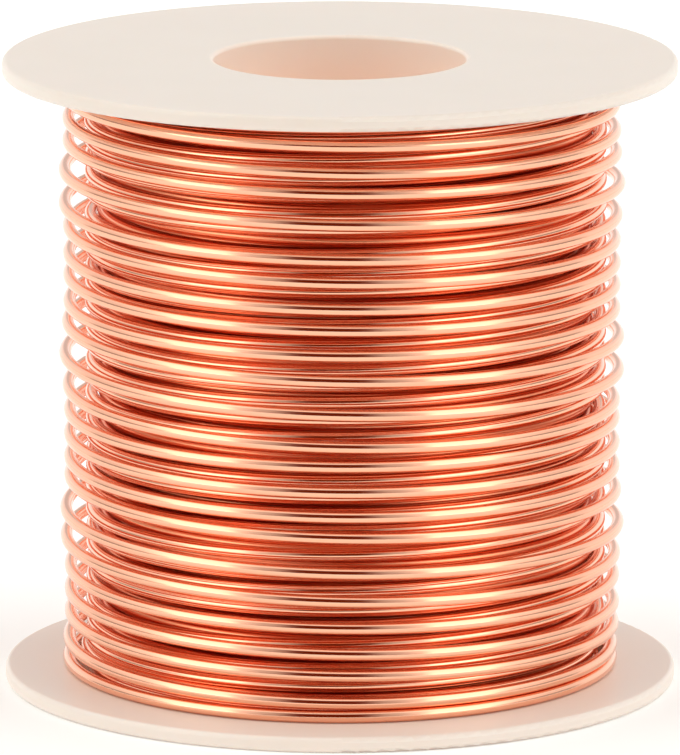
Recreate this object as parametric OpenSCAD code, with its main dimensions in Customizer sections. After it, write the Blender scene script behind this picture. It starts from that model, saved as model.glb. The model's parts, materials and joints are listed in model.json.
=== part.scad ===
// Coil of enamelled copper wire on its spool.
// The spool is one moulding: two round flanges and the barrel between them, with
// a bore right through. The winding is one turned solid with its own bore. Rows of
// turns stand out round it, an open outermost layer on a closer one below.
// Millimetres, +Z up, the origin on the axis at the spool's lower face.

/* [Spool] */
// Outer diameter of both flanges
flange_d = 70; // [64:1:90]
// Height over both flanges
spool_h = 65.6; // [45:0.1:100]
// Thickness of each flange
flange_t = 1.6; // [1.2:0.1:3]
// Rounding along both edges of a flange's rim
rim_r = 0.5; // [0.2:0.1:0.6]
// Diameter of the bore
bore_d = 26.2; // [16:0.1:30]
// Rounding of the bore's two mouths
mouth_r = 0.4; // [0.2:0.1:0.6]
// Wall of the barrel
barrel_wall = 2; // [1.2:0.1:3]

/* [Winding] */
// Diameter of the wire over its enamel
wire_d = 1.3; // [1:0.05:1.6]
// Height from one turn of the outermost layer to the next
turn_pitch = 2.75; // [2.4:0.05:3.6]
// Depth of the open groove between a flange's rim and the outside of the winding
groove_depth = 5.8; // [4:0.1:7]
// How far the outermost rows sink into the rows that carry them
row_sink = 0.15; // [0.1:0.05:0.3]
// Depth of the valleys between the rows of the closer layer
valley_depth = 0.45; // [0.3:0.05:0.6]

/* [Fits] */
// Radial clearance between the barrel and the innermost turns
barrel_clear = 0.05; // [0.02:0.01:0.2]
// Clearance between a flange and the end rows of turns
end_row_clear = 0.05; // [0.02:0.01:0.2]

/* [Hidden] */

// Facets of a full circle: round the axis, and round a wire or a rounded edge
turned_fn = 180;
round_fn = 32;
// Cutters run past what they cut by this much
overrun = 1;

flange_r = flange_d / 2;
bore_r = bore_d / 2;
barrel_r = bore_r + barrel_wall;
// A rounding leaves a flat strip on a thin flange
rim_round = min(rim_r, 0.45 * flange_t);

wire_r = wire_d / 2;
winding_h = spool_h - 2 * flange_t;
// Centres of the outermost turns, and of the rows that carry them
outer_row_r = flange_r - groove_depth - wire_r;
carrier_row_r = outer_row_r - wire_d + row_sink;
// Between the rows the winding is solid out to here
core_r = carrier_row_r + wire_r - valley_depth;
winding_bore_r = barrel_r + barrel_clear;
// Rows share the height evenly, from the lower end row to the upper one
end_row_z = flange_t + end_row_clear + wire_r;
rows_h = spool_h - 2 * end_row_z;
outer_gaps = round(rows_h / turn_pitch);
outer_step = rows_h / outer_gaps;
carrier_step = outer_step / 2;

// Half section of a flange that stands on the section plane's zero line
module flange_section() {
    plate_w = flange_r - bore_r;
    translate([bore_r, 0])
        square([plate_w - rim_round, flange_t]);
    translate([bore_r, rim_round])
        square([plate_w, flange_t - 2 * rim_round]);
    for (z = [rim_round, flange_t - rim_round])
        translate([flange_r - rim_round, z])
            circle(r = rim_round, $fn = round_fn);
}

// What the rounding takes off the lower mouth of the bore
module mouth_cut() {
    difference() {
        translate([bore_r - overrun, -overrun])
            square([mouth_r + overrun, mouth_r + overrun]);
        translate([bore_r + mouth_r, mouth_r])
            circle(r = mouth_r, $fn = round_fn);
    }
}

// Half section of the whole spool
module spool_section() {
    difference() {
        union() {
            flange_section();
            translate([0, spool_h - flange_t])
                flange_section();
            translate([bore_r, 0])
                square([barrel_wall, spool_h]);
        }
        mouth_cut();
        translate([0, spool_h])
            mirror([0, 1])
                mouth_cut();
    }
}

// Half sections of one layer of turns, all at one radius
module row_sections(row_r, step, gaps) {
    for (i = [0 : gaps])
        translate([row_r, end_row_z + i * step])
            circle(r = wire_r, $fn = round_fn);
}

// Spool: flanges and barrel in one moulding, bored right through
module spool() {
    color("#EBE3DC")
        rotate_extrude($fn = turned_fn)
            spool_section();
}

// Winding: solid from the barrel out to the valleys, with its rows of turns
module wire_winding() {
    color("#E0885F")
        rotate_extrude($fn = turned_fn)
            union() {
                translate([winding_bore_r, flange_t])
                    square([core_r - winding_bore_r, winding_h]);
                row_sections(carrier_row_r, carrier_step, 2 * outer_gaps);
                row_sections(outer_row_r, outer_step, outer_gaps);
            }
}

spool();
wire_winding();
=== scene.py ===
# %% [markdown]
# # A coil of enamelled copper wire on its spool
# The object is one moulded spool and one long length of thick copper wire. The
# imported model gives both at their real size: the spool is kept as it is and only
# gets its plastic, and the turned winding is dressed with real turns of wire.
# Everything is in metres, +Z up, with the spool standing on the origin.

import json
import math

import bpy
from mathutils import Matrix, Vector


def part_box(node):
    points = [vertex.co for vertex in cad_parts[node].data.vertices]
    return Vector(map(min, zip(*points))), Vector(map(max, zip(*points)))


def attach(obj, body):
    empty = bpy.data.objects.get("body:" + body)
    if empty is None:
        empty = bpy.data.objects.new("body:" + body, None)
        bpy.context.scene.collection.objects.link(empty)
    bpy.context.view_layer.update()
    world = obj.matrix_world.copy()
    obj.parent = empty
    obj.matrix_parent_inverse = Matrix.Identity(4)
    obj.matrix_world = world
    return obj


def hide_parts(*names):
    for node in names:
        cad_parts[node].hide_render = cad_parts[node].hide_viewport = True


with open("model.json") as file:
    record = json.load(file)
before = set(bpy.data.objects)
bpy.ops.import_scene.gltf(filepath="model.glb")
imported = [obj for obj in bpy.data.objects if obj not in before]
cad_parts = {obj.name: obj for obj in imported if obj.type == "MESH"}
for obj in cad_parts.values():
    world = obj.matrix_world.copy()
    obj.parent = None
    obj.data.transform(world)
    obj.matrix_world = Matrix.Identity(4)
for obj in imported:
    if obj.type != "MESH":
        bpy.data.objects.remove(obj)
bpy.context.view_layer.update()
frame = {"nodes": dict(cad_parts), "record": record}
MM = 0.001
TURN = 2 * math.pi
print("nodes:", sorted(frame["nodes"]))

# %% [markdown]
# ## Sizes
# The spool's box gives its height and how wide its flanges are, and the winding's
# box gives the room between the flanges, so every layer of wire is fitted to it.
# The bore is one of the sizes that the part states for whoever mounts it. Only
# what the solids don't hold is stated here: how thick the wire is.

# %% Sizes
spool_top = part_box("spool")[1]
winding_low, winding_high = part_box("wire_winding")
spool_height = spool_top.z
flange_radius = spool_top.x
bore_radius = frame["record"]["mounts"][0]["dims"]["r_mm"] * MM
wire_radius = 0.65 * MM
lowest_turn = winding_low.z + wire_radius
highest_turn = winding_high.z - wire_radius
print(f"wire runs from z {lowest_turn / MM:.2f} to {highest_turn / MM:.2f} mm")
print(f"bore radius {bore_radius / MM:.2f} mm")

# %% [markdown]
# ## The viewpoint
# A product view is taken from far off with a long lens, looking slightly down. A
# short lens close by would make the upper flange much wider than the lower one.
# From thirty flange radii away they come out nearly the same width.

# %% Camera
camera_distance = 30.0 * flange_radius
camera_height = 7.141 * flange_radius
camera_pitch = math.radians(11.74)
long_lens = 490.9
far_enough = 20
camera_data = bpy.data.cameras.new("camera")
camera_data.lens = long_lens
camera_data.clip_end = far_enough
camera = bpy.data.objects.new("camera", camera_data)
camera.location = (0, -camera_distance, camera_height)
camera.rotation_euler = (math.pi / 2 - camera_pitch, 0, 0)
bpy.context.scene.collection.objects.link(camera)
bpy.context.scene.camera = camera
print(f"camera {camera_distance:.2f} m away and {camera_height:.3f} m up, with a {long_lens:.0f} mm lens")

# %% [markdown]
# ## Small helpers
# Node trees are easier to read as a list of what each node is given. One helper
# adds a node with its settings and feeds its inputs with values or with another
# node's output. One turns the hex colours of a paint card into the linear numbers
# that a renderer works with. The last one starts an empty material.

# %% Helpers
def add_node(tree, kind, feeds=None, **settings):
    """Adds one node, sets it up, and feeds its inputs with values or outputs."""
    node = tree.nodes.new(kind)
    for name, value in settings.items():
        setattr(node, name, value)
    for socket, value in (feeds or {}).items():
        if isinstance(value, bpy.types.NodeSocket):
            tree.links.new(value, node.inputs[socket])
        else:
            node.inputs[socket].default_value = value
    return node


def linear(hex_colour):
    """An sRGB hex colour as linear red, green, blue and a full alpha."""
    shares = [int(hex_colour[i:i + 2], 16) / 255 for i in (1, 3, 5)]
    steps = [s / 12.92 if s <= 0.04045 else ((s + 0.055) / 1.055) ** 2.4 for s in shares]
    return (*steps, 1.0)


def new_material(name):
    """An empty material and its node tree."""
    material = bpy.data.materials.new(name)
    material.use_nodes = True
    material.node_tree.nodes.clear()
    return material, material.node_tree


print(f"middle grey #808080 is {linear('#808080')[0]:.3f} in linear light")

# %% [markdown]
# ## Enamelled copper
# Magnet wire is drawn bright through a polished die and then dipped in a clear
# enamel. To the eye the copper is a deep, coloured mirror: light that bounces
# between turns grows redder each time. The enamel is a thin glossy coat over it.
# The die leaves very fine lines along the wire. They could be a bump, but lines
# that fine only show as a change in gloss, so the roughness varies in long streaks
# that follow the wire. The outer turns keep the polish of the die. The turns below
# them were rubbed by those wound over them, so they are duller. Light reaches them
# through several turns, and their colour is painted redder as painted shade for
# that. That makes two finishes.

# %% Copper material
# The die's real lines are a few thousandths of a millimetre wide, too fine to show.
# They are drawn coarser: three to 25 mm of wire, and a tenth of the wire's width wide
streak_length = 25 / 3 * MM
streak_width = 0.13 * MM
# Most of the noise lies between these, so the roughness uses its whole range
noise_low = 0.3
noise_high = 0.7


def make_enamelled_copper(name, paler, deeper, smoothest, roughest):
    """Bright drawn copper under a clear coat, streaked along the wire."""
    material, tree = new_material(name)
    along = add_node(tree, "ShaderNodeAttribute", attribute_name="along")
    around = add_node(tree, "ShaderNodeAttribute", attribute_name="around")

    # The way round comes as a direction of length one, so it is scaled by streaks in a radius
    streaks_across = wire_radius / streak_width
    slow = add_node(
        tree, "ShaderNodeMath", {0: along.outputs["Fac"], 1: 1 / streak_length}, operation="MULTIPLY"
    )
    lift = add_node(tree, "ShaderNodeCombineXYZ", {"Z": slow.outputs[0]})
    spread = add_node(
        tree, "ShaderNodeVectorMath",
        {0: around.outputs["Vector"], 1: (streaks_across, streaks_across, 0)},
        operation="MULTIPLY",
    )
    place = add_node(
        tree, "ShaderNodeVectorMath", {0: spread.outputs[0], 1: lift.outputs[0]}, operation="ADD"
    )
    streaks = add_node(
        tree, "ShaderNodeTexNoise", {"Vector": place.outputs[0], "Scale": 1.0, "Detail": 3.0}
    )
    rough = add_node(
        tree, "ShaderNodeMapRange",
        {
            "Value": streaks.outputs["Fac"], "From Min": noise_low, "From Max": noise_high,
            "To Min": smoothest, "To Max": roughest,
        },
    )
    tint = add_node(tree, "ShaderNodeMix", {0: streaks.outputs["Fac"]}, data_type="RGBA")
    tint.inputs[6].default_value = linear(deeper)
    tint.inputs[7].default_value = linear(paler)
    shader = add_node(
        tree, "ShaderNodeBsdfPrincipled",
        {
            "Base Color": tint.outputs[2], "Metallic": 1.0, "Roughness": rough.outputs[0],
            "Coat Weight": 0.05, "Coat Roughness": 0.05, "Coat IOR": 1.6,
        },
    )
    add_node(tree, "ShaderNodeOutputMaterial", {"Surface": shader.outputs[0]})
    return material


# Each finish: its paler and deeper colour, and its smoothest and roughest streaks
open_copper = make_enamelled_copper("enamelled_copper_wire", "#FEC1A1", "#FCB594", 0.1, 0.17)
# The buried finish's redder colours are painted shade, for light that has bounced through several turns
buried_copper_painted_shade = make_enamelled_copper("enamelled_copper_buried_painted_shade", "#FEA87F", "#FD9C72", 0.24, 0.34)
print(f"streaks {streak_length / MM:.1f} mm long and {streak_width / MM:.2f} mm wide")
print("finishes:", open_copper.name, buried_copper_painted_shade.name)

# %% [markdown]
# ## Laying the wire
# A layer of wire is a helix. It rests flat on one flange for over half a turn,
# climbs at an even pitch, and lies flat under the other flange before the next
# layer starts on top of it. The spool always turns the same way, so a layer that
# climbs and one that comes down cross each other. Stiff wire never lies perfectly:
# turns bunch in twos and threes, sway up and down, and bulge out where nothing
# presses on them. A Screw modifier makes a helix too, but it knows no such habits.
# A Geometry Nodes tree holds the whole rule once, and each layer feeds it its
# numbers.

# %% Inputs of the tree
LAYER_INPUTS = [
    ("Turns", "NodeSocketFloat"),
    ("Flat Turns", "NodeSocketFloat"),
    ("Climb Start", "NodeSocketFloat"),
    ("Bed Height", "NodeSocketFloat"),
    ("Pitch", "NodeSocketFloat"),
    ("Start Height", "NodeSocketFloat"),
    ("End Height", "NodeSocketFloat"),
    ("Start Angle", "NodeSocketFloat"),
    ("Layer Radius", "NodeSocketFloat"),
    ("Layer Rise", "NodeSocketFloat"),
    ("Lean", "NodeSocketFloat"),
    ("Wire Radius", "NodeSocketFloat"),
    ("Stray", "NodeSocketFloat"),
    ("Gap Every", "NodeSocketFloat"),
    ("Gap Turn", "NodeSocketFloat"),
    ("Sway", "NodeSocketFloat"),
    ("Bulge", "NodeSocketFloat"),
    ("Seed", "NodeSocketFloat"),
    ("Points", "NodeSocketInt"),
    ("Sides", "NodeSocketInt"),
    ("Material", "NodeSocketMaterial"),
]
print(f"each layer is given {len(LAYER_INPUTS)} numbers and settings")

# %% [markdown]
# ### Height along a layer
# A layer starts flat on one flange. Before it comes round again it steps up and
# beds against its own first turn, and only then climbs at an even pitch. The other
# end is the same, the other way up. So the rule works with the turns to the nearer
# end, and the same number says how free the wire is to wander there.

# %% Height and freedom
# Turns from a flange to where the wire starts to wander, and to where it is quite free
held_turns = 1.3
free_turns = 2.4
# How softly a bedded turn goes over into the climb
step_softness = 0.2 * wire_radius
print(f"the wire is held for {held_turns} turns and free after {free_turns}")


def height_rule(tree, given, turn):
    """The even climb from flange to flange, and a share from 0 at a flange to 1 in the open."""
    back = add_node(tree, "ShaderNodeMath", {0: given["Turns"], 1: turn}, operation="SUBTRACT")
    near = add_node(tree, "ShaderNodeMath", {0: turn, 1: back.outputs[0]}, operation="MINIMUM")
    bedded = add_node(
        tree, "ShaderNodeMapRange",
        {
            "Value": near.outputs[0], "From Min": given["Flat Turns"], "From Max": 1.0,
            "To Max": given["Bed Height"],
        },
        interpolation_type="SMOOTHSTEP",
    )
    climbed = add_node(
        tree, "ShaderNodeMath", {0: near.outputs[0], 1: given["Climb Start"]}, operation="SUBTRACT"
    )
    climb = add_node(tree, "ShaderNodeMath", {0: climbed.outputs[0], 1: given["Pitch"]}, operation="MULTIPLY")
    rise = add_node(
        tree, "ShaderNodeMath", {0: bedded.outputs[0], 1: climb.outputs[0], 2: step_softness},
        operation="SMOOTH_MAX",
    )

    # 0 in the first half of the layer and 1 in the second, and the way off the nearer flange
    second = add_node(tree, "ShaderNodeMath", {0: turn, 1: back.outputs[0]}, operation="GREATER_THAN")
    flange = add_node(
        tree, "ShaderNodeMapRange",
        {"Value": second.outputs[0], "To Min": given["Start Height"], "To Max": given["End Height"]},
    )
    travel = add_node(
        tree, "ShaderNodeMath", {0: given["End Height"], 1: given["Start Height"]}, operation="SUBTRACT"
    )
    way = add_node(tree, "ShaderNodeMath", {0: travel.outputs[0]}, operation="SIGN")
    turned = add_node(tree, "ShaderNodeMapRange", {"Value": second.outputs[0], "To Min": 1.0, "To Max": -1.0})
    off = add_node(tree, "ShaderNodeMath", {0: way.outputs[0], 1: turned.outputs[0]}, operation="MULTIPLY")
    height = add_node(
        tree, "ShaderNodeMath", {0: rise.outputs[0], 1: off.outputs[0], 2: flange.outputs[0]},
        operation="MULTIPLY_ADD",
    )
    free = add_node(
        tree, "ShaderNodeMapRange",
        {"Value": near.outputs[0], "From Min": held_turns, "From Max": free_turns},
        interpolation_type="SMOOTHSTEP",
    )
    return height.outputs[0], free.outputs[0]


# %% [markdown]
# ### Wandering
# Two things move a turn off its even place. A wave with a period of some six turns
# is steep once and nearly even between, so it leaves one wide gap in each period,
# where the wire also stands out in a loose loop. On top of it, smooth noise along
# the wire sways it up and down.

# %% Gaps, sway and bulge
# A second wave, twice as quick, makes the first one steep once and flat between
second_wave = 0.4
sways_a_turn = 0.9
sway_low = 0.25
sway_high = 0.75
# The share of the wave's full steepness from which a turn counts as loose
loose_from = 0.3
print(f"{sways_a_turn} sways a turn")


def wander_rule(tree, given, turn, free):
    """How far the wire strays up or down, and how far it bulges out."""
    since = add_node(tree, "ShaderNodeMath", {0: turn, 1: given["Gap Turn"]}, operation="SUBTRACT")
    beat = add_node(tree, "ShaderNodeMath", {0: since.outputs[0], 1: given["Gap Every"]}, operation="DIVIDE")
    swing = add_node(tree, "ShaderNodeMath", {0: beat.outputs[0], 1: TURN}, operation="MULTIPLY")
    twice = add_node(tree, "ShaderNodeMath", {0: swing.outputs[0], 1: 2.0}, operation="MULTIPLY")
    slow = add_node(tree, "ShaderNodeMath", {0: swing.outputs[0]}, operation="SINE")
    quick = add_node(tree, "ShaderNodeMath", {0: twice.outputs[0]}, operation="SINE")
    wave = add_node(
        tree, "ShaderNodeMath", {0: quick.outputs[0], 1: second_wave, 2: slow.outputs[0]},
        operation="MULTIPLY_ADD",
    )
    seeded = add_node(tree, "ShaderNodeMath", {0: turn, 1: given["Seed"]}, operation="ADD")
    noise = add_node(
        tree, "ShaderNodeTexNoise", {"W": seeded.outputs[0], "Scale": sways_a_turn, "Detail": 1.0},
        noise_dimensions="1D",
    )
    signed = add_node(
        tree, "ShaderNodeMapRange",
        {
            "Value": noise.outputs[0], "From Min": sway_low, "From Max": sway_high,
            "To Min": -1.0, "To Max": 1.0,
        },
    )
    sway = add_node(tree, "ShaderNodeMath", {0: signed.outputs[0], 1: given["Sway"]}, operation="MULTIPLY")
    stray = add_node(
        tree, "ShaderNodeMath", {0: wave.outputs[0], 1: given["Stray"], 2: sway.outputs[0]},
        operation="MULTIPLY_ADD",
    )
    up = add_node(tree, "ShaderNodeMath", {0: stray.outputs[0], 1: free}, operation="MULTIPLY")

    # The loose loops are where the wave is at its steepest
    steep = add_node(tree, "ShaderNodeMath", {0: swing.outputs[0]}, operation="COSINE")
    loose = add_node(
        tree, "ShaderNodeMapRange", {"Value": steep.outputs[0], "From Min": loose_from, "From Max": 1.0},
        interpolation_type="SMOOTHSTEP",
    )
    bulge = add_node(tree, "ShaderNodeMath", {0: loose.outputs[0], 1: given["Bulge"]}, operation="MULTIPLY")
    out = add_node(tree, "ShaderNodeMath", {0: bulge.outputs[0], 1: free}, operation="MULTIPLY")
    return up.outputs[0], out.outputs[0]


# %% [markdown]
# ### Winding up
# The turn number becomes an angle, and the point goes round the axis at the layer's
# radius. Away from the flanges a slack layer also leans a little to one side of the
# barrel. At its very end the layer climbs to the radius of the next one.

# %% The path
climb_turns = 0.12
print(f"climbs to the next layer in its last {climb_turns} turn")


def winding_rule(tree, given, turn, free, height, up, out):
    """Each point's place on the layer, and how far along the wire it is."""
    climb_from = add_node(
        tree, "ShaderNodeMath", {0: given["Turns"], 1: climb_turns}, operation="SUBTRACT"
    )
    climb = add_node(
        tree, "ShaderNodeMapRange",
        {
            "Value": turn, "From Min": climb_from.outputs[0], "From Max": given["Turns"],
            "To Min": 0.0, "To Max": given["Layer Rise"],
        },
        interpolation_type="SMOOTHSTEP",
    )
    radius = add_node(tree, "ShaderNodeMath", {0: given["Layer Radius"], 1: out}, operation="ADD")
    radius = add_node(tree, "ShaderNodeMath", {0: radius.outputs[0], 1: climb.outputs[0]}, operation="ADD")
    level = add_node(tree, "ShaderNodeMath", {0: height, 1: up}, operation="ADD")
    swept = add_node(tree, "ShaderNodeMath", {0: turn, 1: TURN}, operation="MULTIPLY")
    angle = add_node(tree, "ShaderNodeMath", {0: swept.outputs[0], 1: given["Start Angle"]}, operation="ADD")
    cosine = add_node(tree, "ShaderNodeMath", {0: angle.outputs[0]}, operation="COSINE")
    sine = add_node(tree, "ShaderNodeMath", {0: angle.outputs[0]}, operation="SINE")
    aside = add_node(tree, "ShaderNodeMath", {0: given["Lean"], 1: free}, operation="MULTIPLY")
    x = add_node(
        tree, "ShaderNodeMath", {0: cosine.outputs[0], 1: radius.outputs[0], 2: aside.outputs[0]},
        operation="MULTIPLY_ADD",
    )
    y = add_node(tree, "ShaderNodeMath", {0: sine.outputs[0], 1: radius.outputs[0]}, operation="MULTIPLY")
    place = add_node(
        tree, "ShaderNodeCombineXYZ", {"X": x.outputs[0], "Y": y.outputs[0], "Z": level.outputs[0]}
    )
    length = add_node(
        tree, "ShaderNodeMath", {0: swept.outputs[0], 1: given["Layer Radius"]}, operation="MULTIPLY"
    )
    return place.outputs[0], length.outputs[0]


# %% [markdown]
# ### Thickening
# A small circle swept along the path gives the wire its thickness, with both ends
# closed. Two attributes go with it for the material: metres along the wire, and the
# way round it. A texture that reads them follows the wire round every turn.

# %% The whole tree
def make_layer_tree():
    """The rule for one layer of wire, from flange to flange."""
    tree = bpy.data.node_groups.new("wire_layer", "GeometryNodeTree")
    for name, kind in LAYER_INPUTS:
        tree.interface.new_socket(name, in_out="INPUT", socket_type=kind)
    tree.interface.new_socket("Geometry", in_out="OUTPUT", socket_type="NodeSocketGeometry")
    given = add_node(tree, "NodeGroupInput").outputs

    # A straight run of points, which the rule then winds up
    line = add_node(tree, "GeometryNodeCurvePrimitiveLine")
    points = add_node(tree, "GeometryNodeResampleCurve", {"Curve": line.outputs[0], "Count": given["Points"]})
    share = add_node(tree, "GeometryNodeSplineParameter").outputs["Factor"]
    turn = add_node(tree, "ShaderNodeMath", {0: share, 1: given["Turns"]}, operation="MULTIPLY").outputs[0]
    height, free = height_rule(tree, given, turn)
    up, out = wander_rule(tree, given, turn, free)
    place, length = winding_rule(tree, given, turn, free, height, up, out)
    wound = add_node(tree, "GeometryNodeSetPosition", {"Geometry": points.outputs[0], "Position": place})
    upright = add_node(tree, "GeometryNodeSetCurveNormal", {"Curve": wound.outputs[0]}, mode="Z_UP")
    marked = add_node(
        tree, "GeometryNodeStoreNamedAttribute",
        {"Geometry": upright.outputs[0], "Name": "along", "Value": length},
        data_type="FLOAT", domain="POINT",
    )

    # The wire's round section, which also knows its own direction outwards
    ring = add_node(
        tree, "GeometryNodeCurvePrimitiveCircle",
        {"Resolution": given["Sides"], "Radius": given["Wire Radius"]},
    )
    spot = add_node(tree, "GeometryNodeInputPosition").outputs[0]
    outward = add_node(tree, "ShaderNodeVectorMath", {0: spot}, operation="NORMALIZE")
    marked_ring = add_node(
        tree, "GeometryNodeStoreNamedAttribute",
        {"Geometry": ring.outputs[0], "Name": "around", "Value": outward.outputs[0]},
        data_type="FLOAT_VECTOR", domain="POINT",
    )
    wire = add_node(
        tree, "GeometryNodeCurveToMesh",
        {"Curve": marked.outputs[0], "Profile Curve": marked_ring.outputs[0], "Fill Caps": True},
    )
    smooth = add_node(tree, "GeometryNodeSetShadeSmooth", {"Geometry": wire.outputs[0]})
    real = add_node(tree, "GeometryNodeRealizeInstances", {"Geometry": smooth.outputs[0]})
    dressed = add_node(
        tree, "GeometryNodeSetMaterial", {"Geometry": real.outputs[0], "Material": given["Material"]}
    )
    add_node(tree, "NodeGroupOutput", {"Geometry": dressed.outputs[0]})
    return tree


layer_tree = make_layer_tree()
layer_sockets = {}
for item in layer_tree.interface.items_tree:
    if item.in_out == "INPUT":
        layer_sockets[item.name] = item.identifier
print("wire layer tree:", len(layer_tree.nodes), "nodes")

# %% [markdown]
# ## The visible layers
# Four layers can be seen from outside. The deepest is laid close, turn against
# turn, and hides everything below it. The three above it are laid more open the
# further out they are, up to two wire widths from turn to turn, so each shows the
# next one down through its gaps. Each layer is evaluated once and kept as a plain
# mesh, because what leaves Blender is meshes and not modifiers.

# %% One layer as a mesh
print("inputs are set by identifier:", layer_sockets["Turns"], "is Turns")


def lay_layer(name, numbers):
    """Runs the tree once and keeps the result as a plain mesh."""
    piece = bpy.data.objects.new(name, bpy.data.meshes.new(name))
    bpy.context.scene.collection.objects.link(piece)
    modifier = piece.modifiers.new("winding", "NODES")
    modifier.node_group = layer_tree
    for label, value in numbers.items():
        modifier[layer_sockets[label]] = value
    depsgraph = bpy.context.evaluated_depsgraph_get()
    mesh = bpy.data.meshes.new_from_object(
        piece.evaluated_get(depsgraph), preserve_all_data_layers=True, depsgraph=depsgraph
    )
    piece.modifiers.clear()
    piece.data = mesh
    mesh.name = name
    return piece


# %% [markdown]
# ### The numbers
# The layers are listed from the inside out. The outermost one comes down as it goes
# from left to right across the front, so its last turn lies flat on the lower flange
# there and the wire's end is tucked away at the back. The slack inner layers lean
# further to one side than the outermost one. That opens the gap between them there,
# so daylight shows through the loose loops at the left edge.

# %% The layers' numbers
flat_turns = 0.62
bed_play = 0.05 * MM
bed_height = 2 * wire_radius + bed_play
most_bedded = 0.33
wire_end_angle = math.radians(393)
# The wide gaps of the outer layer, in turns from its end on the lower flange
gap_every = 6.45
gap_turn = 12.6
# radius and pitch in mm, points in a turn, sides, stray, sway, bulge and lean in mm,
# turns between wide gaps, the seed of the sway, and the finish
layers = {
    "wire_close_layer": (23.85, 1.3, 96, 10, 0.0, 0.0, 0.0, 0.6, 6.0, 3.0, buried_copper_painted_shade),
    "wire_third_layer": (25.15, 1.6, 96, 12, 0.08, 0.05, 0.0, 0.6, 5.1, 11.0, buried_copper_painted_shade),
    "wire_second_layer": (26.45, 1.95, 112, 14, 0.3, 0.2, 0.05, 0.6, 5.3, 23.0, open_copper),
    "wire_outer_layer": (28.35, 2.75, 128, 18, 0.5, 0.35, 0.45, 0.2, gap_every, 41.0, open_copper),
}


def climb_start(pitch):
    """Turns from a layer's end to where the even climb would have left the flange."""
    bedded_turns = min(most_bedded, 1 - 2 * wire_radius / pitch)
    return 1 + bedded_turns - bed_height / pitch


def layer_turns(pitch):
    """Turns of one layer: the climb at that pitch and what lies flat at each end."""
    return (highest_turn - lowest_turn) / pitch + 2 * climb_start(pitch)


total_turns = sum(layer_turns(numbers[1] * MM) for numbers in layers.values())
print(f"{total_turns:.1f} turns in {len(layers)} visible layers")

# %% [markdown]
# ### Laying them one on another
# The wire is one length, so each layer starts at the angle where the one inside it
# stopped and goes the other way. The angles are counted back from the wire's end.

# %% Lay the layers
angle = wire_end_angle - total_turns * TURN
going_up = len(layers) % 2 == 0
radii = [numbers[0] for numbers in layers.values()]
next_radii = radii[1:] + radii[-1:]
pieces = []
for (name, numbers), next_radius in zip(layers.items(), next_radii):
    radius, pitch, points_a_turn, sides, stray, sway, bulge, lean, every, seed, finish = numbers
    turns = layer_turns(pitch * MM)
    pieces.append(lay_layer(name, {
        "Turns": turns,
        "Flat Turns": flat_turns,
        "Climb Start": climb_start(pitch * MM),
        "Bed Height": bed_height,
        "Pitch": pitch * MM,
        "Start Height": lowest_turn if going_up else highest_turn,
        "End Height": highest_turn if going_up else lowest_turn,
        "Start Angle": angle,
        "Layer Radius": radius * MM,
        "Layer Rise": (next_radius - radius) * MM,
        "Lean": lean * MM,
        "Wire Radius": wire_radius,
        "Stray": (stray if going_up else -stray) * MM,
        "Gap Every": every,
        "Gap Turn": turns - gap_turn,
        "Sway": sway * MM,
        "Bulge": bulge * MM,
        "Seed": seed,
        "Points": round(turns * points_a_turn) + 1,
        "Sides": sides,
        "Material": finish,
    }))
    angle += turns * TURN
    going_up = not going_up
    print(f"{name}: {turns:.1f} turns, {len(pieces[-1].data.polygons)} faces")

for piece in pieces:
    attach(piece, "root")
    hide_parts("wire_winding")

# %% [markdown]
# ## Natural white plastic
# The spool is moulded in unpigmented polystyrene: a warm white with a soft satin
# shine, and slightly translucent. Light that goes through the barrel's wall comes
# back from the copper behind it, so the bore glows salmon below the flanges. The
# lower flange is lit through from the pale floor, and warmest beside the lowest
# turns. Light traced through the wall would need a great many samples, so it is
# painted light: a faint painted glow by place, and a salmon tint painted into the
# bore's colour. The mould leaves a fine grain that breaks up the shine, and the
# melt a cloudiness that is only just there.

# %% Where the plastic glows
glow_strength = 0.08
flange_glow = 0.7
mouth_glow = 0.25
# Down the bore the glow grows from what it is at the mouth to all of it
mouth_depth = 0.3 * MM
full_depth = 5.0 * MM
# It ends just outside the bore's own radius, where the mouth is rounded
wall_from = 0.2 * MM
wall_to = 0.5 * MM
# The lower flange glows copper-coloured below the winding and pales from its edge
# outwards. Just above the flange that glow ends
copper_edge = 27.0 * MM
flange_top_from = 2.0 * MM
flange_top_to = 3.0 * MM


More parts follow.
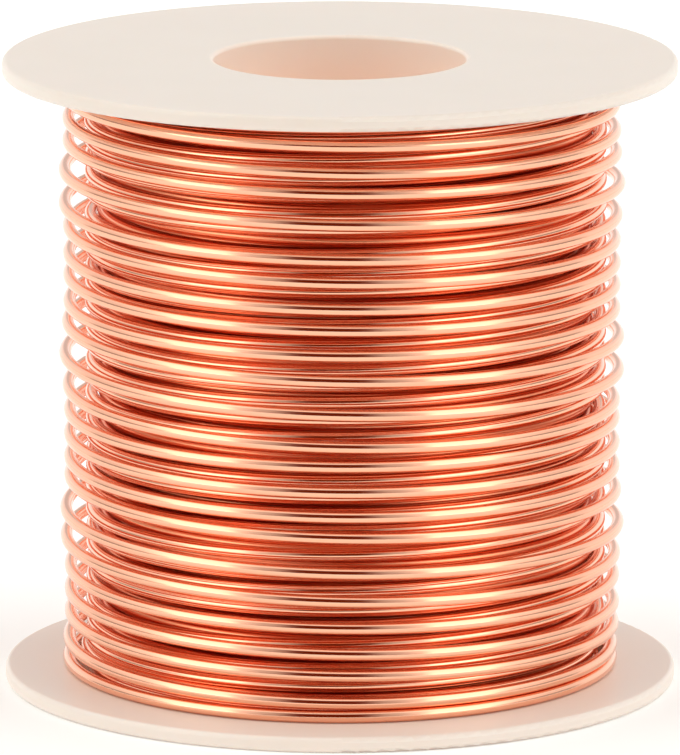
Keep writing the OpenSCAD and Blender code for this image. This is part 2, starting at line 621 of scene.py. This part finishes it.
def make_glow(tree, out, height):
    """How much of the bore's painted glow a place has, and the painted glow's strength and colour."""
    in_bore = add_node(
        tree, "ShaderNodeMapRange",
        {
            "Value": out, "From Min": bore_radius + wall_from, "From Max": bore_radius + wall_to,
            "To Min": 1.0, "To Max": 0.0,
        },
    )
    above = add_node(tree, "ShaderNodeMath", {0: spool_height, 1: height}, operation="SUBTRACT")
    depth = add_node(tree, "ShaderNodeMath", {0: above.outputs[0], 1: height}, operation="MINIMUM")
    backed = add_node(
        tree, "ShaderNodeMapRange",
        {
            "Value": depth.outputs[0], "From Min": mouth_depth, "From Max": full_depth,
            "To Min": mouth_glow, "To Max": 1.0,
        },
    )
    bore_glow = add_node(
        tree, "ShaderNodeMath", {0: in_bore.outputs[0], 1: backed.outputs[0]}, operation="MULTIPLY"
    )
    low_down = add_node(
        tree, "ShaderNodeMapRange",
        {
            "Value": height, "From Min": flange_top_from, "From Max": flange_top_to,
            "To Min": flange_glow, "To Max": 0.0,
        },
    )
    either = add_node(
        tree, "ShaderNodeMath", {0: bore_glow.outputs[0], 1: low_down.outputs[0]}, operation="MAXIMUM"
    )
    strength = add_node(
        tree, "ShaderNodeMath", {0: either.outputs[0], 1: glow_strength}, operation="MULTIPLY"
    )
    beside = add_node(
        tree, "ShaderNodeMapRange",
        {"Value": out, "From Min": copper_edge, "From Max": flange_radius, "To Min": 1.0, "To Max": 0.0},
    )
    painted_glow_colour = add_node(tree, "ShaderNodeMix", {0: beside.outputs[0]}, data_type="RGBA")
    painted_glow_colour.inputs[6].default_value = linear("#FFEBDC")
    painted_glow_colour.inputs[7].default_value = linear("#FFB48C")
    return bore_glow.outputs[0], strength.outputs[0], painted_glow_colour.outputs[2]


print(f"full glow from {full_depth / MM:.0f} mm down the bore")

# %% Plastic material
# Clouds about 11 mm wide. The real grain is a few hundredths of a millimetre and is
# drawn coarser, so that it shows: some two thirds of a millimetre
cloud_size = 100 / 9 * MM
grain_size = 2 / 3 * MM
grain_depth = 0.02 * MM
# How far light goes into the plastic before it comes back out
scatter_depth = 1.5 * MM


def make_spool_plastic():
    """Satin translucent white, with painted copper-coloured light in the bore and on the lower flange."""
    material, tree = new_material("natural_polystyrene")
    place = add_node(tree, "ShaderNodeTexCoord").outputs["Object"]
    parts = add_node(tree, "ShaderNodeSeparateXYZ", {0: place}).outputs
    flat_place = add_node(tree, "ShaderNodeCombineXYZ", {"X": parts["X"], "Y": parts["Y"]})
    out = add_node(tree, "ShaderNodeVectorMath", {0: flat_place.outputs[0]}, operation="LENGTH")
    bore_glow, strength, painted_glow_colour = make_glow(tree, out.outputs["Value"], parts["Z"])
    cloud = add_node(tree, "ShaderNodeTexNoise", {"Vector": place, "Scale": 1 / cloud_size, "Detail": 2.0})
    plain = add_node(tree, "ShaderNodeMix", {0: cloud.outputs["Fac"]}, data_type="RGBA")
    plain.inputs[6].default_value = linear("#E6D8CE")
    plain.inputs[7].default_value = linear("#EADCD3")
    # The bore's colour is painted salmon: painted light for the copper seen through the wall
    tint = add_node(tree, "ShaderNodeMix", {0: bore_glow, 6: plain.outputs[2]}, data_type="RGBA")
    tint.inputs[7].default_value = linear("#F9E4D6")
    grain = add_node(tree, "ShaderNodeTexNoise", {"Vector": place, "Scale": 1 / grain_size, "Detail": 2.0})
    bump = add_node(
        tree, "ShaderNodeBump",
        {"Height": grain.outputs["Fac"], "Strength": 0.05, "Distance": grain_depth},
    )
    # The emission is a painted glow, placed by position in the bore and on the lower flange
    shader = add_node(
        tree, "ShaderNodeBsdfPrincipled",
        {
            "Base Color": tint.outputs[2], "Roughness": 0.38, "IOR": 1.55, "Normal": bump.outputs[0],
            "Subsurface Weight": 0.2, "Subsurface Radius": (1.0, 0.7, 0.5), "Subsurface Scale": scatter_depth,
            "Emission Color": painted_glow_colour, "Emission Strength": strength,
        },
    )
    add_node(tree, "ShaderNodeOutputMaterial", {"Surface": shader.outputs[0]})
    return material


spool = frame["nodes"]["spool"]
spool.data.materials.clear()
spool.data.materials.append(make_spool_plastic())
print("spool:", len(spool.data.polygons), "faces")

# %% [markdown]
# ## Floor
# The spool stands on a pale sheet of paper, wide enough to fill the view. Uncoated
# paper is quite matt: no shine, only an even white. A flat square would come out
# grey in the shade of the spool. A studio lights such a sheet from below as well,
# so the paper glows a little.

# %% Floor
floor_size = 3.0
paper_glow = 0.1
floor_mesh = bpy.data.meshes.new("floor")
corners = [(-1, -1), (1, -1), (1, 1), (-1, 1)]
floor_mesh.from_pydata([(floor_size * x, floor_size * y, 0) for x, y in corners], [], [(0, 1, 2, 3)])
floor = bpy.data.objects.new("floor", floor_mesh)
bpy.context.scene.collection.objects.link(floor)
floor_material, floor_tree = new_material("white_paper")
paper = add_node(
    floor_tree, "ShaderNodeBsdfPrincipled",
    {
        "Base Color": linear("#FBFBFB"), "Roughness": 0.9,
        "Emission Color": (1.0, 1.0, 1.0, 1.0), "Emission Strength": paper_glow,
    },
)
add_node(floor_tree, "ShaderNodeOutputMaterial", {"Surface": paper.outputs[0]})
floor_mesh.materials.append(floor_material)
print(f"floor: {2 * floor_size:.0f} m wide")

# %% [markdown]
# ## Light
# Polished wire is a row of little mirrors, so what it reflects is what draws it.
# Small lamps would give it hard white dots. A studio puts big soft panels round it
# instead: a tall one to the left and one to the right of the viewer, which give
# each turn its two bright stretches, and weaker ones overhead and behind, which
# light the flanges and the floor. The viewer's side stays dark, so the copper
# deepens to red in the middle. They could be area lamps, but here the panels are
# painted on the room itself, by direction, because then one fades into the next
# with no edge for the wire to mirror.
#
# A turn of wire is a lying cylinder, and that settles which two numbers to paint
# by. Light that bounces about between turns goes up and down, but it leaves at the
# same way round as it came in. So the first number is how far round from the
# viewer a direction lies, as the wire sees it: all light with one such number
# falls on one upright stretch of the winding, on the tops of the turns and down in
# the gaps alike. The second number is how far up and over it comes from.

# %% Directions in the room
world = bpy.data.worlds.new("studio_room")
world.use_nodes = True
room = world.node_tree
room.nodes.clear()
look = add_node(room, "ShaderNodeTexCoord").outputs["Generated"]
ways = add_node(room, "ShaderNodeSeparateXYZ", {0: look}).outputs
front = add_node(room, "ShaderNodeMath", {0: ways["Y"], 1: -1.0}, operation="MULTIPLY").outputs[0]
ahead = add_node(room, "ShaderNodeMath", {0: front, 1: 1.0}, operation="ADD").outputs[0]
facing = add_node(room, "ShaderNodeMath", {0: ways["X"], 1: ahead}, operation="ARCTAN2").outputs[0]

# Degrees round from the front, the same to left and right but for a small shift
shift_round = 4.0
double = add_node(room, "ShaderNodeMath", {0: facing, 1: 2.0}, operation="MULTIPLY").outputs[0]
signed_round = add_node(room, "ShaderNodeMath", {0: double}, operation="DEGREES").outputs[0]
shifted = add_node(room, "ShaderNodeMath", {0: signed_round, 1: shift_round}, operation="ADD").outputs[0]
degrees_round = add_node(room, "ShaderNodeMath", {0: shifted}, operation="ABSOLUTE").outputs[0]
share_round = add_node(room, "ShaderNodeMath", {0: degrees_round, 1: 180.0}, operation="DIVIDE").outputs[0]

# Degrees up and over: 0 at the horizon in front, 90 overhead and 180 at the horizon behind
sine = add_node(room, "ShaderNodeMath", {0: facing}, operation="SINE").outputs[0]
cosine = add_node(room, "ShaderNodeMath", {0: facing}, operation="COSINE").outputs[0]
ahead_part = add_node(room, "ShaderNodeMath", {0: front, 1: cosine}, operation="MULTIPLY").outputs[0]
level = add_node(
    room, "ShaderNodeMath", {0: ways["X"], 1: sine, 2: ahead_part}, operation="MULTIPLY_ADD"
).outputs[0]
over = add_node(room, "ShaderNodeMath", {0: ways["Z"], 1: level}, operation="ARCTAN2").outputs[0]
degrees_over = add_node(room, "ShaderNodeMath", {0: over}, operation="DEGREES").outputs[0]
print(f"{len(room.nodes)} nodes give each direction its degrees round and over")

# %% [markdown]
# ### Rings of light
# Each ring is one colour ramp: its stops give the light at so many degrees round.
# The first ring is what lies low in front, and each later one takes over smoothly
# from the one before it, further up and over. A plain white room would be 1 all
# round. A stop well above that is a panel, and one well below it is left dark.

# %% Rings of light
# A ramp holds colours up to 1, so they are stored as shares of this and turned up again
brightest = 3.0


def light_ring(stops):
    """One ring's light, which changes smoothly from stop to stop on the way round."""
    ramp = add_node(room, "ShaderNodeValToRGB", {0: share_round})
    ramp.color_ramp.interpolation = "EASE"
    elements = ramp.color_ramp.elements
    for degrees, light in stops:
        if degrees == 0:
            element = elements[0]
        elif degrees == 180:
            element = elements[-1]
        else:
            element = elements.new(degrees / 180)
        colour = light if isinstance(light, tuple) else (light, light, light)
        element.color = (*[value / brightest for value in colour], 1.0)
    return ramp.outputs["Color"]


# The viewer's side is dark and warm, and the panels are the brightest and a little yellow
dark_side = (0.14, 0.02, 0.004)
low_panel = (2.3, 2.5, 2.3)
panel = (1.9, 2.05, 1.9)
high_panel = (1.8, 1.9, 1.8)
# Each ring: the degrees over between which it takes over, then degrees round and the
# light there, as one number or as red, green and blue
rings = [
    ((-100, -99), [
        (0, dark_side), (12, dark_side), (26, 0.55), (36, 0.9), (44, low_panel), (64, low_panel),
        (75, 1.0), (84, 0.6), (98, 0.4), (112, 0.4), (126, 1.1), (180, 1.2),
    ]),
    ((14, 28), [
        (0, dark_side), (12, dark_side), (26, 0.65), (36, 1.0), (44, panel), (66, panel),
        (84, 1.2), (100, 0.95), (114, 0.95), (130, 1.15), (180, 1.2),
    ]),
    ((52, 64), [
        (0, 1.1), (24, 1.1), (44, high_panel), (66, high_panel), (84, 1.25), (110, 1.0), (180, 1.0),
    ]),
    ((96, 110), [(0, 0.6), (90, 0.6), (180, 0.8)]),
    ((146, 160), [(0, 0.7), (180, 0.7)]),
]
light = (0.0, 0.0, 0.0, 1.0)
for (start, end), stops in rings:
    share = add_node(
        room, "ShaderNodeMapRange", {"Value": degrees_over, "From Min": start, "From Max": end},
        interpolation_type="SMOOTHSTEP",
    )
    mixed = add_node(
        room, "ShaderNodeMix", {0: share.outputs[0], 6: light, 7: light_ring(stops)}, data_type="RGBA"
    )
    light = mixed.outputs[2]
background = add_node(room, "ShaderNodeBackground", {"Color": light, "Strength": brightest})
add_node(room, "ShaderNodeOutputWorld", {"Surface": background.outputs[0]})
scene = bpy.context.scene
scene.world = world
scene.view_settings.view_transform = "Standard"
print(len(rings), "rings of light in the room")

# %% [markdown]
# ### Bounces
# Light goes from turn to turn many times before it leaves a gap in the winding,
# and every bounce deepens its red. Cut off at the usual four, the gaps would be
# black, so the paths are let run twice as long.

# %% Bounces
scene.cycles.max_bounces = 10
scene.cycles.glossy_bounces = 8
print("glossy bounces:", scene.cycles.glossy_bounces)
